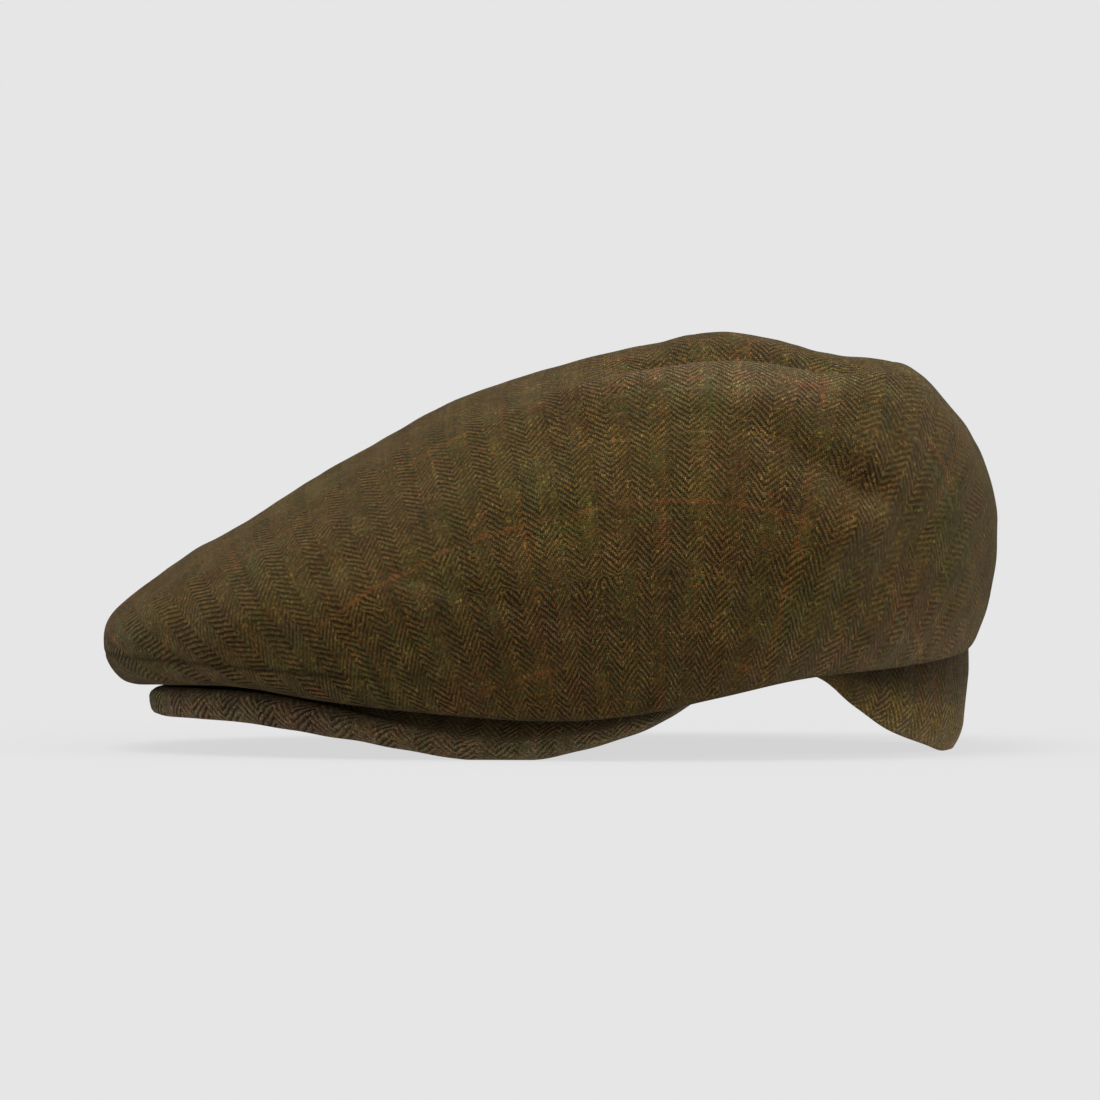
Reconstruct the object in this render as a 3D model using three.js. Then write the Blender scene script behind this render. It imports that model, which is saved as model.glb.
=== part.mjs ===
// A tweed flat cap that rests on the two sides of its peak and on its hem at the back.
// Millimetres, +Z up. The front faces -Y and the wearer's left is +X. The origin is on the floor,
// under the middle of the cap's box.
//
// It is sewn from three pieces. The crown is one puffed shell of cloth, open below: it swells past
// the head all round, rolls under, and its edge turns up inside the roll. The side band is a
// crescent that hangs inside that edge, from one corner of the peak round the back to the other.
// The peak is a curved board covered in cloth. The crown's front lies on top of it.
//
// A place on the cap is a turn, a radius and a height. The turn is in degrees about the middle of
// the head, from 0 at the front by 90 at the left side to 180 at the back.

import * as THREE from 'three';
import { LoftGeometry } from 'three/addons/geometries/LoftGeometry.js';

// Driving sizes of the head opening and the cloth.
const HEAD_LENGTH = 200;
const HEAD_WIDTH = 160;
const CLOTH_WALL = 1.8;

// How far the crown's turned-up edge stands off the band, and off the peak, whose face twists more.
const SEAM_GAP = 0.3;
const PEAK_SEAM_GAP = 0.7;

// Driving sizes of the crown. Front and back are measured from the middle of the head.
const CROWN_FRONT = 167;
const CROWN_BACK = 113;
const CROWN_WIDTH = 206;
const CROWN_TOP = 130;
const CROWN_TURN_UP = 9;
const FOLD_DEPTH = 4;

// Driving sizes of the peak. Its lift is the height of its front edge above the floor.
const PEAK_FRONT = 153;
const PEAK_WIDTH = 184;
const PEAK_THICKNESS = 4.5;
const PEAK_LIFT = 11;
const PEAK_ROOT_HEIGHT = 24;
const PEAK_CORNER_TURN = 104;

// Driving sizes of the side band.
const BAND_LEAN = 2;
const BAND_HEM_CURL = 3;
const BAND_HEM_HEIGHT = 9;
const BAND_CORNER_GAP = 0.4;

// How far the crown's edge stands off round the peak's corner, and over how many degrees.
const CORNER_EASE = 1;
const CORNER_EASE_TURN = 14;

// Fineness of the facets. A swept piece ends at least LEAST_STEP of a spoke's step from a spoke.
const CROWN_SPOKES = 60;
const TOP_RINGS = 12;
const ROLL_RINGS = 4;
const UNDER_RINGS = 3;
const POLE_SHARE = 0.06;
const EDGE_FACETS = 4;
const PEAK_FACE_SHARES = [1, 0.5];
const LEAST_STEP = 0.25;

// How square the plan outlines are: 2 is an ellipse.
const ELLIPSE_POWER = 2;
const CROWN_FRONT_POWER = 2.2;
const CROWN_BACK_POWER = 2.3;
const PEAK_POWER = 2.3;

// Where the folds of one side fade in, as shares of the crown's half width from its middle line.
const FOLDS_FROM = 0.1;
const FOLDS_FULL = 0.5;

// The cloth's looks.
const CLOTH_ROUGHNESS = 0.95;
const CROWN_COLOR = 0x4b3d20;
const BAND_COLOR = 0x55452d;
const PEAK_COLOR = 0x46391f;

// The crown's section by turn. Heights are shares of CROWN_TOP: widest is where it swells most and
// lip is the bottom of its roll. lipIn is the lip's radius as a share of the plan radius there.
// slack is 1 where the roll is a full quarter of an ellipse and more where it is drawn in.
// shoulder sets how near the rim the top keeps its height, and slump how softly it then falls.
const CROWN_SECTIONS = [
  { turn: 0, widest: 0.26, lip: 0.154, lipIn: 0.93, slack: 1, shoulder: 24, slump: 0.5 },
  { turn: 15, widest: 0.265, lip: 0.162, lipIn: 0.93, slack: 1, shoulder: 22, slump: 0.5 },
  { turn: 28, widest: 0.285, lip: 0.163, lipIn: 0.93, slack: 1, shoulder: 17, slump: 0.52 },
  { turn: 38, widest: 0.31, lip: 0.138, lipIn: 0.93, slack: 1, shoulder: 13, slump: 0.54 },
  { turn: 50, widest: 0.35, lip: 0.115, lipIn: 0.93, slack: 1, shoulder: 9.5, slump: 0.57 },
  { turn: 75, widest: 0.41, lip: 0.092, lipIn: 0.93, slack: 1, shoulder: 6.5, slump: 0.6 },
  { turn: 90, widest: 0.44, lip: 0.108, lipIn: 0.93, slack: 1, shoulder: 6, slump: 0.6 },
  { turn: 104, widest: 0.46, lip: 0.146, lipIn: 0.93, slack: 1, shoulder: 6.5, slump: 0.6 },
  { turn: 119, widest: 0.49, lip: 0.188, lipIn: 0.93, slack: 1, shoulder: 8, slump: 0.6 },
  { turn: 140, widest: 0.52, lip: 0.213, lipIn: 0.93, slack: 1.1, shoulder: 12, slump: 0.6 },
  { turn: 160, widest: 0.54, lip: 0.24, lipIn: 0.936, slack: 1.3, shoulder: 20, slump: 0.6 },
  { turn: 180, widest: 0.554, lip: 0.29, lipIn: 0.944, slack: 1.5, shoulder: 24, slump: 0.6 },
];

// The crown's ceiling along its length. along is a share of the crown's length from its front,
// height a share of CROWN_TOP on the middle line, and fall how much lower, as a share of
// CROWN_TOP, it would be at the crown's full half width.
const CROWN_CEILING = [
  { along: 0, height: 0.375, fall: 0.1 },
  { along: 0.11, height: 0.489, fall: 0.2 },
  { along: 0.29, height: 0.716, fall: 0.29 },
  { along: 0.38, height: 0.829, fall: 0.29 },
  { along: 0.425, height: 0.868, fall: 0.27 },
  { along: 0.515, height: 0.917, fall: 0.25 },
  { along: 0.6, height: 0.966, fall: 0.24 },
  { along: 0.68, height: 1, fall: 0.23 },
  { along: 0.74, height: 0.99, fall: 0.2 },
  { along: 0.82, height: 0.945, fall: 0.12 },
  { along: 0.87, height: 0.934, fall: 0.07 },
  { along: 0.9, height: 0.915, fall: 0.06 },
  { along: 0.96, height: 0.795, fall: 0.05 },
  { along: 1, height: 0.715, fall: 0.05 },
];

// Broad folds in the crown's cloth as seen from one side, +1 for the left and -1 for the right.
// along is a share of the crown's length, height of CROWN_TOP, and rake the fold's tilt in degrees,
// up towards the back. halfLong and halfWide are shares of the crown's length, and depth is a share
// of FOLD_DEPTH, above 0 for a ridge and below 0 for a dent.
const CROWN_FOLDS = [
  { side: 1, along: 0.71, height: 0.91, rake: 0, halfLong: 0.17, halfWide: 0.03, depth: 0.6 },
  { side: 1, along: 0.79, height: 0.7, rake: -32, halfLong: 0.09, halfWide: 0.03, depth: -1 },
  { side: 1, along: 0.8, height: 0.57, rake: 36, halfLong: 0.08, halfWide: 0.03, depth: 0.6 },
  { side: 1, along: 0.87, height: 0.5, rake: 40, halfLong: 0.06, halfWide: 0.025, depth: -0.8 },
  { side: 1, along: 0.4, height: 0.41, rake: -14, halfLong: 0.13, halfWide: 0.03, depth: -0.5 },
  { side: 1, along: 0.15, height: 0.37, rake: 24, halfLong: 0.07, halfWide: 0.03, depth: 0.5 },
  { side: -1, along: 0.7, height: 0.91, rake: 3, halfLong: 0.17, halfWide: 0.03, depth: 0.7 },
  { side: -1, along: 0.76, height: 0.68, rake: -25, halfLong: 0.1, halfWide: 0.035, depth: -0.9 },
  { side: -1, along: 0.84, height: 0.52, rake: 30, halfLong: 0.08, halfWide: 0.03, depth: 0.6 },
  { side: -1, along: 0.36, height: 0.45, rake: -18, halfLong: 0.14, halfWide: 0.035, depth: -0.6 },
];

// The peak by turn. low is its lowest point as a share of PEAK_LIFT, root the height of its inner
// edge as a share of PEAK_ROOT_HEIGHT, and reach the share of the way that it keeps from its inner
// edge out to its plan outline.
const PEAK_SECTIONS = [
  { turn: 0, low: 1.02, root: 1, reach: 1 },
  { turn: 15, low: 1, root: 1, reach: 1 },
  { turn: 27, low: 0.93, root: 0.99, reach: 1 },
  { turn: 38, low: 0.63, root: 0.97, reach: 1 },
  { turn: 50, low: 0.26, root: 0.94, reach: 1 },
  { turn: 59, low: 0.03, root: 0.92, reach: 1 },
  { turn: 67, low: 0, root: 0.91, reach: 1 },
  { turn: 78, low: 0.27, root: 0.91, reach: 0.95 },
  { turn: 88, low: 0.68, root: 0.93, reach: 0.85 },
  { turn: 96, low: 1.16, root: 0.97, reach: 0.65 },
  { turn: 104, low: 1.72, root: 1.05, reach: 0.35 },
];

// The side band by turn. hem is the height of its lower edge as a share of PEAK_ROOT_HEIGHT.
const BAND_SECTIONS = [
  { turn: 104, hem: 0.92 },
  { turn: 115, hem: 1.02 },
  { turn: 125, hem: 1.09 },
  { turn: 130, hem: 0.98 },
  { turn: 138, hem: 0.63 },
  { turn: 147, hem: 0.32 },
  { turn: 160, hem: 0.08 },
  { turn: 168, hem: 0 },
  { turn: 180, hem: 0 },
];

// The curl of the band's hem. rise is a share of the curl's height, and inwards of BAND_HEM_CURL.
const BAND_CURL = [
  { rise: 0, inwards: 1 },
  { rise: 0.25, inwards: 0.5625 },
  { rise: 0.5, inwards: 0.25 },
  { rise: 1, inwards: 0 },
];

const MIDDLE_Y = (CROWN_FRONT - CROWN_BACK) / 2;
const CROWN_LENGTH = CROWN_FRONT + CROWN_BACK;
const FULL_TURN = 360;

// The turns at which every piece has its facets' corners, so that faces that meet stay parallel.
// They run once round from the back, below 0 on the right side and above 0 on the left.
const SPOKE_ROUNDS = Array.from({ length: CROWN_SPOKES }, (_, spoke) => {
  return ((spoke + 0.5) / CROWN_SPOKES - 0.5) * FULL_TURN;
});

// A smooth curve through one column of a table, level at both ends.
function columnCurve(table, along, column) {
  const places = table.map((row) => row[along]);
  const values = table.map((row) => row[column]);
  const curve = new THREE.CubicInterpolant(places, values, 1, [0]);
  curve.settings = { endingStart: THREE.ZeroSlopeEnding, endingEnd: THREE.ZeroSlopeEnding };
  return (place) => curve.evaluate(THREE.MathUtils.clamp(place, places[0], places.at(-1)))[0];
}

function columnCurves(table, along) {
  const columns = Object.keys(table[0]).filter((column) => column !== along);
  return Object.fromEntries(columns.map((column) => [column, columnCurve(table, along, column)]));
}

const crownAt = columnCurves(CROWN_SECTIONS, 'turn');
const ceilingAt = columnCurves(CROWN_CEILING, 'along');
const peakAt = columnCurves(PEAK_SECTIONS, 'turn');
const bandAt = columnCurves(BAND_SECTIONS, 'turn');

function place(turn, radius, height) {
  const angle = THREE.MathUtils.degToRad(turn);
  return new THREE.Vector3(radius * Math.sin(angle), MIDDLE_Y - radius * Math.cos(angle), height);
}

// The radius, at a turn, of a rounded outline with its own reach in front, behind and to the side.
function outlineRadius(turn, side, front, back, frontPower, backPower) {
  const angle = THREE.MathUtils.degToRad(turn);
  const forward = Math.cos(angle);
  const reach = forward > 0 ? front : back;
  const power = forward > 0 ? frontPower : backPower;
  const sum = Math.abs(Math.sin(angle) / side) ** power + Math.abs(forward / reach) ** power;
  return sum ** (-1 / power);
}

function headRadius(turn) {
  const half = HEAD_LENGTH / 2;
  return outlineRadius(turn, HEAD_WIDTH / 2, half, half, ELLIPSE_POWER, ELLIPSE_POWER);
}

function crownRadius(turn) {
  return outlineRadius(
    turn, CROWN_WIDTH / 2, CROWN_FRONT, CROWN_BACK, CROWN_FRONT_POWER, CROWN_BACK_POWER);
}

function peakRadius(turn) {
  return outlineRadius(
    turn, PEAK_WIDTH / 2, PEAK_FRONT, HEAD_LENGTH / 2, PEAK_POWER, ELLIPSE_POWER);
}

// The middle line of the peak's section at a turn, as two points of radius and height: the centre
// of its rounded outer edge, and its inner edge, which stands clear of the head.
function peakLine(turn) {
  const half = PEAK_THICKNESS / 2;
  const inner = headRadius(turn) + PEAK_THICKNESS / 2;
  const outer = THREE.MathUtils.lerp(inner, peakRadius(turn) - half, peakAt.reach(turn));
  return {
    edge: new THREE.Vector2(outer, Math.max(0, peakAt.low(turn)) * PEAK_LIFT + half),
    root: new THREE.Vector2(inner, peakAt.root(turn) * PEAK_ROOT_HEIGHT),
  };
}

function bandFace(turn, height) {
  return headRadius(turn) + CLOTH_WALL + BAND_LEAN * Math.min(1, height / PEAK_ROOT_HEIGHT);
}

function lipHeight(turn) {
  return crownAt.lip(turn) * CROWN_TOP;
}

// How far out, at a turn and a height, the crown's turned-up edge lies: a seam's gap off what
// carries it. That is the peak's upper face in front and the band's face behind. Round the peak's
// corner it stands a little further off, and past it the first face changes into the second.
function carrierRadius(turn, height) {
  const peakTurn = Math.min(turn, PEAK_CORNER_TURN);
  const line = peakLine(peakTurn);
  const slope = line.root.clone().sub(line.edge).normalize();
  const cornerTurns = Math.abs(turn - PEAK_CORNER_TURN) / CORNER_EASE_TURN;
  const ease = CORNER_EASE * (1 - THREE.MathUtils.smoothstep(cornerTurns, 0, 1));
  const clearance = PEAK_THICKNESS / 2 + PEAK_SEAM_GAP + ease;
  const rise = (height - line.edge.y) / slope.y;
  const face = line.edge.x + slope.x * rise + clearance / slope.y;
  const onPeak = face + headRadius(turn) - headRadius(peakTurn);
  const onBand = bandFace(turn, height) + SEAM_GAP;
  const change = THREE.MathUtils.smoothstep(
    turn, PEAK_CORNER_TURN, PEAK_CORNER_TURN + CORNER_EASE_TURN);
  const nearBand = turn > PEAK_CORNER_TURN - CORNER_EASE_TURN;
  return Math.max(THREE.MathUtils.lerp(onPeak, onBand, change), nearBand ? onBand + ease : 0);
}

// The way up what carries the crown's edge, at a turn and a height.
function carrierSlope(turn, height) {
  const top = height + CROWN_TURN_UP;
  const inwards = carrierRadius(turn, top) - carrierRadius(turn, height);
  return new THREE.Vector2(inwards, CROWN_TURN_UP).normalize();
}

// How far the crown's cloth stands out of its smooth shape at a point, from its folds.
function foldHeight(point) {
  const along = (point.y - MIDDLE_Y + CROWN_FRONT) / CROWN_LENGTH;
  const height = point.z / CROWN_LENGTH;
  let total = 0;
  for (const fold of CROWN_FOLDS) {
    const rake = THREE.MathUtils.degToRad(fold.rake);
    const back = along - fold.along;
    const up = height - (fold.height * CROWN_TOP) / CROWN_LENGTH;
    const lengthways = (back * Math.cos(rake) + up * Math.sin(rake)) / fold.halfLong;
    const across = (up * Math.cos(rake) - back * Math.sin(rake)) / fold.halfWide;
    const outwards = (fold.side * point.x) / (CROWN_WIDTH / 2);
    const shown = THREE.MathUtils.smoothstep(outwards, FOLDS_FROM, FOLDS_FULL);
    total += fold.depth * shown * Math.exp(-(lengthways ** 2) - across ** 2);
  }
  return total * FOLD_DEPTH;
}

// The crown's top: from the pole, share 0, to where it swells most, share 1. inset is how far
// inside the outer face the point lies.
function crownTop(share, turn, inset) {
  const spread = Math.sin((share * Math.PI) / 2);
  const radius = spread * (crownRadius(turn) - inset);
  const flat = place(turn, radius, 0);
  const along = (flat.y - MIDDLE_Y + CROWN_FRONT) / CROWN_LENGTH;
  const across = flat.x / (CROWN_WIDTH / 2);
  const ceiling = (ceilingAt.height(along) - ceilingAt.fall(along) * across ** 2) * CROWN_TOP;
  const widest = crownAt.widest(turn) * CROWN_TOP;
  const edge = (1 - spread ** crownAt.shoulder(turn)) ** crownAt.slump(turn);
  return place(turn, radius, widest + (ceiling - inset - widest) * edge);
}

// The crown's roll: from where it swells most down to its lip.
function crownRoll(share, turn, inset) {
  const angle = (share * Math.PI) / 2;
  const widest = crownAt.widest(turn) * CROWN_TOP;
  const lip = lipPoint(turn, inset);
  const reach = crownRadius(turn) - inset - lip.x;
  const out = Math.max(0, Math.cos(angle)) ** crownAt.slack(turn);
  return place(turn, lip.x + reach * out, widest - (widest - lip.y) * Math.sin(angle));
}

function lipPoint(turn, inset) {
  const height = lipHeight(turn);
  const tight = carrierRadius(turn, height) + CLOTH_WALL + inset / 2;
  return new THREE.Vector2(
    Math.max(crownAt.lipIn(turn) * crownRadius(turn), tight), height + inset);
}

// The crown's underside: from the lip in to what carries it, and up along that.
function crownUnder(share, turn, inset) {
  const lip = lipPoint(turn, inset);
  const slope = carrierSlope(turn, lip.y);
  const corner = new THREE.Vector2(carrierRadius(turn, lip.y) + inset / slope.y, lip.y);
  const end = corner.clone().addScaledVector(slope, CROWN_TURN_UP * slope.y);
  const edge = new THREE.QuadraticBezierCurve(lip, corner, end).getPoint(share);
  return place(turn, edge.x, edge.y);
}

// One ring of the crown round the head. Where it is folded, each point moves with the outer face,
// out along a direction that leans from straight up, tilt 0, to level, tilt 1.
function crownRing(surface, share, inset, tilt, folded) {
  return SPOKE_ROUNDS.map((round) => {
    const turn = Math.abs(round);
    const point = surface(share, turn, inset);
    const outer = surface(share, turn, 0);
    point.x *= Math.sign(round);
    outer.x *= Math.sign(round);
    const lean = (tilt * Math.PI) / 2;
    const outwards = place(round, Math.sin(lean), Math.cos(lean)).sub(place(0, 0, 0));
    return point.addScaledVector(outwards, folded * foldHeight(outer));
  });
}

function crownFace(inset) {
  const rings = [];
  for (let ring = 0; ring <= TOP_RINGS; ring++) {
    const share = Math.max(POLE_SHARE, ring / TOP_RINGS);
    rings.push(crownRing(crownTop, share, inset, share, 1));
  }
  for (let ring = 1; ring <= ROLL_RINGS; ring++) {
    const share = ring / ROLL_RINGS;
    rings.push(crownRing(crownRoll, share, inset, 1, 1 - share));
  }
  for (let ring = 1; ring <= UNDER_RINGS; ring++) {
    rings.push(crownRing(crownUnder, ring / UNDER_RINGS, inset, 1, 0));
  }
  return rings;
}

// A closed skin over rings of equally many points. A fan closes the first ring and the last.
function skinGeometry(rings) {
  const points = rings.flat();
  const count = rings[0].length;
  const middleOf = (ring) => {
    const sum = ring.reduce((total, point) => total.add(point), new THREE.Vector3());
    return sum.divideScalar(count);
  };
  const first = points.push(middleOf(rings[0])) - 1;
  const last = points.push(middleOf(rings.at(-1))) - 1;
  const lastRing = (rings.length - 1) * count;
  const corners = [];
  for (let spoke = 0; spoke < count; spoke++) {
    const next = (spoke + 1) % count;
    corners.push(first, spoke, next, last, lastRing + next, lastRing + spoke);
    for (let row = 0; row < lastRing; row += count) {
      corners.push(row + spoke, row + count + spoke, row + count + next);
      corners.push(row + spoke, row + count + next, row + next);
    }
  }
  const geometry = new THREE.BufferGeometry().setFromPoints(points);
  geometry.setIndex(corners);
  geometry.computeVertexNormals();
  return geometry;
}

function crownGeometry() {
  return skinGeometry([...crownFace(0), ...crownFace(CLOTH_WALL).reverse()]);
}

// The peak's section: from its root out along its upper face, round its outer edge, and back along
// its lower face.
function peakSection(round) {
  const turn = Math.abs(round);
  const line = peakLine(turn);
  const slope = line.root.clone().sub(line.edge).normalize();
  const out = new THREE.Vector2(slope.y, -slope.x);
  const half = PEAK_THICKNESS / 2;
  const outline = [];
  for (const share of PEAK_FACE_SHARES) {
    outline.push(line.edge.clone().lerp(line.root, share).addScaledVector(out, half));
  }
  for (let facet = 0; facet <= EDGE_FACETS; facet++) {
    const angle = (facet / EDGE_FACETS) * Math.PI;
    outline.push(
      line.edge.clone()
        .addScaledVector(out, half * Math.cos(angle))
        .addScaledVector(slope, -half * Math.sin(angle)));
  }
  for (const share of PEAK_FACE_SHARES.toReversed()) {
    outline.push(line.edge.clone().lerp(line.root, share).addScaledVector(out, -half));
  }
  return outline.map((corner) => place(round, corner.x, corner.y));
}

// The band's section: up its inner face and down its outer face. Its hem curls in.
function bandSection(round) {
  const turn = Math.abs(round);
  const hem = Math.max(0, bandAt.hem(turn)) * PEAK_ROOT_HEIGHT;
  const top = lipHeight(turn) + CROWN_TURN_UP;
  const curl = Math.min(BAND_HEM_HEIGHT, (top - hem) / 2);
  const rows = BAND_CURL.map(({ rise, inwards }) => ({ height: hem + rise * curl, inwards }));
  rows.push({ height: top, inwards: 0 });
  const outer = rows.map(({ height, inwards }) => {
    const radius = bandFace(turn, height) - inwards * BAND_HEM_CURL;
    return place(round, radius, height);
  });
  const inner = rows.map(({ height, inwards }) => {
    const radius = bandFace(turn, height) - inwards * BAND_HEM_CURL - CLOTH_WALL;
    return place(round, radius, height);
  });
  return [...inner, ...outer.reverse()];
}

// A piece from one turn to another, with a section at each end and at each spoke well between.
function sweptPiece(section, first, last) {
  const clear = (FULL_TURN / CROWN_SPOKES) * LEAST_STEP;
  const spokes = [...SPOKE_ROUNDS, ...SPOKE_ROUNDS.map((round) => round + FULL_TURN)];
  const between = spokes.filter((round) => round > first + clear && round < last - clear);
  const sections = [first, ...between, last].map((round) => {
    return section(round > FULL_TURN / 2 ? round - FULL_TURN : round);
  });
  return new LoftGeometry(sections, { capStart: true, capEnd: true });
}

function peakGeometry() {
  return sweptPiece(peakSection, -PEAK_CORNER_TURN, PEAK_CORNER_TURN);
}

function bandGeometry() {
  const gapTurn = THREE.MathUtils.radToDeg(BAND_CORNER_GAP / headRadius(PEAK_CORNER_TURN));
  const first = PEAK_CORNER_TURN + gapTurn;
  return sweptPiece(bandSection, first, FULL_TURN - first);
}

function clothMaterial(color) {
  return new THREE.MeshStandardMaterial({ color, roughness: CLOTH_ROUGHNESS, metalness: 0 });
}

function piece(name, geometry, color) {
  const mesh = new THREE.Mesh(geometry, clothMaterial(color));
  mesh.name = name;
  return mesh;
}

const cap = new THREE.Group();
cap.add(piece('crown', crownGeometry(), CROWN_COLOR));
cap.add(piece('side_band', bandGeometry(), BAND_COLOR));
cap.add(piece('peak', peakGeometry(), PEAK_COLOR));

export default cap;
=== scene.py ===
import bpy
import numpy as np
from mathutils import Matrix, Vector


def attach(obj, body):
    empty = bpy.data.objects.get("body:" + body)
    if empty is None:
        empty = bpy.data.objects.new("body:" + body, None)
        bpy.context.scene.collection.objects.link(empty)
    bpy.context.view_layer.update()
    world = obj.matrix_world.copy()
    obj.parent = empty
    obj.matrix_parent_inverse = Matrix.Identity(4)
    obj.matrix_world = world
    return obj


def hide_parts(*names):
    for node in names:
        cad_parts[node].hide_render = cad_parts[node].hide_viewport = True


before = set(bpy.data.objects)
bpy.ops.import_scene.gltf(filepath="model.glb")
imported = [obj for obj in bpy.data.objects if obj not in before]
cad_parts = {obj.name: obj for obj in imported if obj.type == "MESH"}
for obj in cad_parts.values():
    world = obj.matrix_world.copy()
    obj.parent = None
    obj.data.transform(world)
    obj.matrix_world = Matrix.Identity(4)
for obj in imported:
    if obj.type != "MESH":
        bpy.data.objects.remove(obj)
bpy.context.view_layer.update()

# The looks of a tweed flat cap. Lengths are in metres. The front faces -Y and the wearer's left is
# +X. A place is a turn, a radius and a height: the turn is in degrees about the middle of the head,
# from 0 at the front by 90 at the left side to 180 at the back, and below 0 on the right side. A
# range is the pair of values between which something comes in or goes out smoothly.

# Driving sizes, the same as those of the solids.
HEAD_LENGTH = 0.2
HEAD_WIDTH = 0.16
CROWN_FRONT = 0.167
CROWN_BACK = 0.113
CROWN_WIDTH = 0.206
CROWN_TOP = 0.13
CROWN_TURN_UP = 0.009
PEAK_FRONT = 0.153
PEAK_WIDTH = 0.184
PEAK_THICKNESS = 0.0045
PEAK_LIFT = 0.011
PEAK_ROOT_HEIGHT = 0.024
PEAK_CORNER_TURN = 104
BAND_WALL = 0.0018
BAND_LEAN = 0.002
BAND_HEM_CURL = 0.003
BAND_HEM_HEIGHT = 0.009
BAND_CORNER_GAP = 0.0004
CROWN_FRONT_POWER = 2.2
CROWN_BACK_POWER = 2.3
PEAK_POWER = 2.3

# Sizes of the cloth and of what it shows.
CROWN_WALL = 0.0014
SEAM_GAP = 0.0004
PEAK_SEAM_GAP = 0.0007
PEAK_EDGE_SWELL = 0.0024
PEAK_SWELL_RANGE = (0.72, 1)
EDGE_SQUARENESS = 0.65
CORNER_EASE = 0.001
CORNER_EASE_TURN = 14
FOLD_DEPTH = 0.004
FOLD_SIDE_RANGE = (0.1, 0.5)
FREE_CLOTH_RANGE = (0.55, 1)
TOP_SHAPES_RANGE = (0.08, 0.1)
STITCH_DEPTH = 0.00018
STITCH_HALF_WIDTH = 0.0007
STITCH_FRONT_HEIGHT = 0.0302
STITCH_SLOPE = -0.062
STITCH_END_RANGE = (-0.066, -0.03)
STITCH_CUT = 1.3
STITCH_PUFF = 0.55
STITCH_PUFF_WIDTH = 3.2

# Fineness of the surfaces: points, rows and steps between the rows that the inner faces keep.
AROUND = 360
TOP_ROWS = 112
ROLL_ROWS = 50
UNDER_ROWS = 14
POLE_SHARE = 0.02
INNER_TOP_STEP = 4
INNER_ROLL_STEP = 3
PEAK_AROUND = 281
PEAK_ROWS = 26
BAND_AROUND = 221
BAND_ROWS = 40
BAND_ROW_POWER = 1.3
EDGE_POINTS = 7

# Fineness of the laying out of the cloth.
FLAT_ROWS = 38
FLAT_STEP = 5
FLAT_ROUNDS = 60

CROWN_SECTIONS = {
    "turn": (0, 15, 28, 38, 50, 75, 90, 104, 119, 140, 160, 180),
    "widest": (0.26, 0.265, 0.285, 0.31, 0.35, 0.41, 0.44, 0.46, 0.49, 0.52, 0.54, 0.554),
    "lip": (0.154, 0.162, 0.163, 0.138, 0.115, 0.092, 0.108, 0.146, 0.188, 0.213, 0.24, 0.29),
    "lip_in": (0.93, 0.93, 0.93, 0.93, 0.93, 0.93, 0.93, 0.93, 0.93, 0.93, 0.936, 0.944),
    "slack": (1, 1, 1, 1, 1, 1, 1, 1, 1, 1.15, 1.6, 2.1),
    "shoulder": (24, 22, 17, 13, 9.5, 6.5, 6, 6.5, 8, 12, 20, 24),
    "slump": (0.5, 0.5, 0.52, 0.54, 0.57, 0.6, 0.6, 0.6, 0.6, 0.6, 0.6, 0.6),
}

CROWN_CEILING = {
    "along": (0, 0.11, 0.29, 0.38, 0.425, 0.515, 0.6, 0.68, 0.74, 0.82, 0.87, 0.9, 0.96, 1),
    "height": (0.375, 0.489, 0.716, 0.829, 0.868, 0.917, 0.966, 1, 0.99, 0.945, 0.934, 0.915,
               0.795, 0.715),
    "fall": (0.1, 0.2, 0.29, 0.29, 0.27, 0.25, 0.24, 0.23, 0.2, 0.12, 0.07, 0.06, 0.05, 0.05),
}

# The crown's folds, seen from one side: side is 1 for the left and -1 for the right, along a share
# of the crown's length from its front, height a share of CROWN_TOP, rake the tilt in degrees up
# towards the back, half_long and half_wide shares of the crown's length, depth a share of
# FOLD_DEPTH, above 0 for a ridge, and crisp the power of the fold's section: 2 is soft.
CROWN_FOLDS = (
    # side, along, height, rake, half_long, half_wide, depth, crisp
    (1, 0.8125, 0.67, -31, 0.085, 0.022, -0.95, 1.7),
    (1, 0.79, 0.745, -30, 0.08, 0.024, 0.35, 2),
    (1, 0.835, 0.55, 38, 0.06, 0.022, 0.75, 1.8),
    (1, 0.902, 0.51, 40, 0.05, 0.02, -0.85, 1.7),
    (1, 0.86, 0.3, 12, 0.07, 0.028, 0.3, 2),
    (1, 0.404, 0.39, -15, 0.1, 0.014, -0.4, 1.6),
    (1, 0.4, 0.34, -13, 0.11, 0.022, 0.3, 2),
    (1, 0.174, 0.36, 26, 0.07, 0.025, 0.45, 2),
    (1, 0.235, 0.42, 22, 0.07, 0.02, -0.3, 1.8),
    (1, 0.58, 0.5, -8, 0.09, 0.03, -0.3, 2),
    (-1, 0.76, 0.68, -25, 0.1, 0.03, -0.9, 1.7),
    (-1, 0.84, 0.52, 30, 0.07, 0.025, 0.6, 1.8),
    (-1, 0.36, 0.45, -18, 0.12, 0.02, -0.5, 1.7),
    (-1, 0.18, 0.35, 20, 0.08, 0.025, 0.4, 2),
    (-1, 0.6, 0.42, 10, 0.1, 0.03, -0.35, 2),
)

# The crown's top along its left side: how high each shape stands, where it lies across the cap, its
# half width, and where along the cap it starts, is full, begins to fade and ends.
TOP_SHAPES = (
    # height, across, half_wide, start, full, fading, end
    (0.004, 0.06, 0.013, -0.025, 0.015, 0.022, 0.062),
    (-0.0105, 0.037, 0.0125, 0.0, 0.045, 0.078, 0.106),
)

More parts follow.
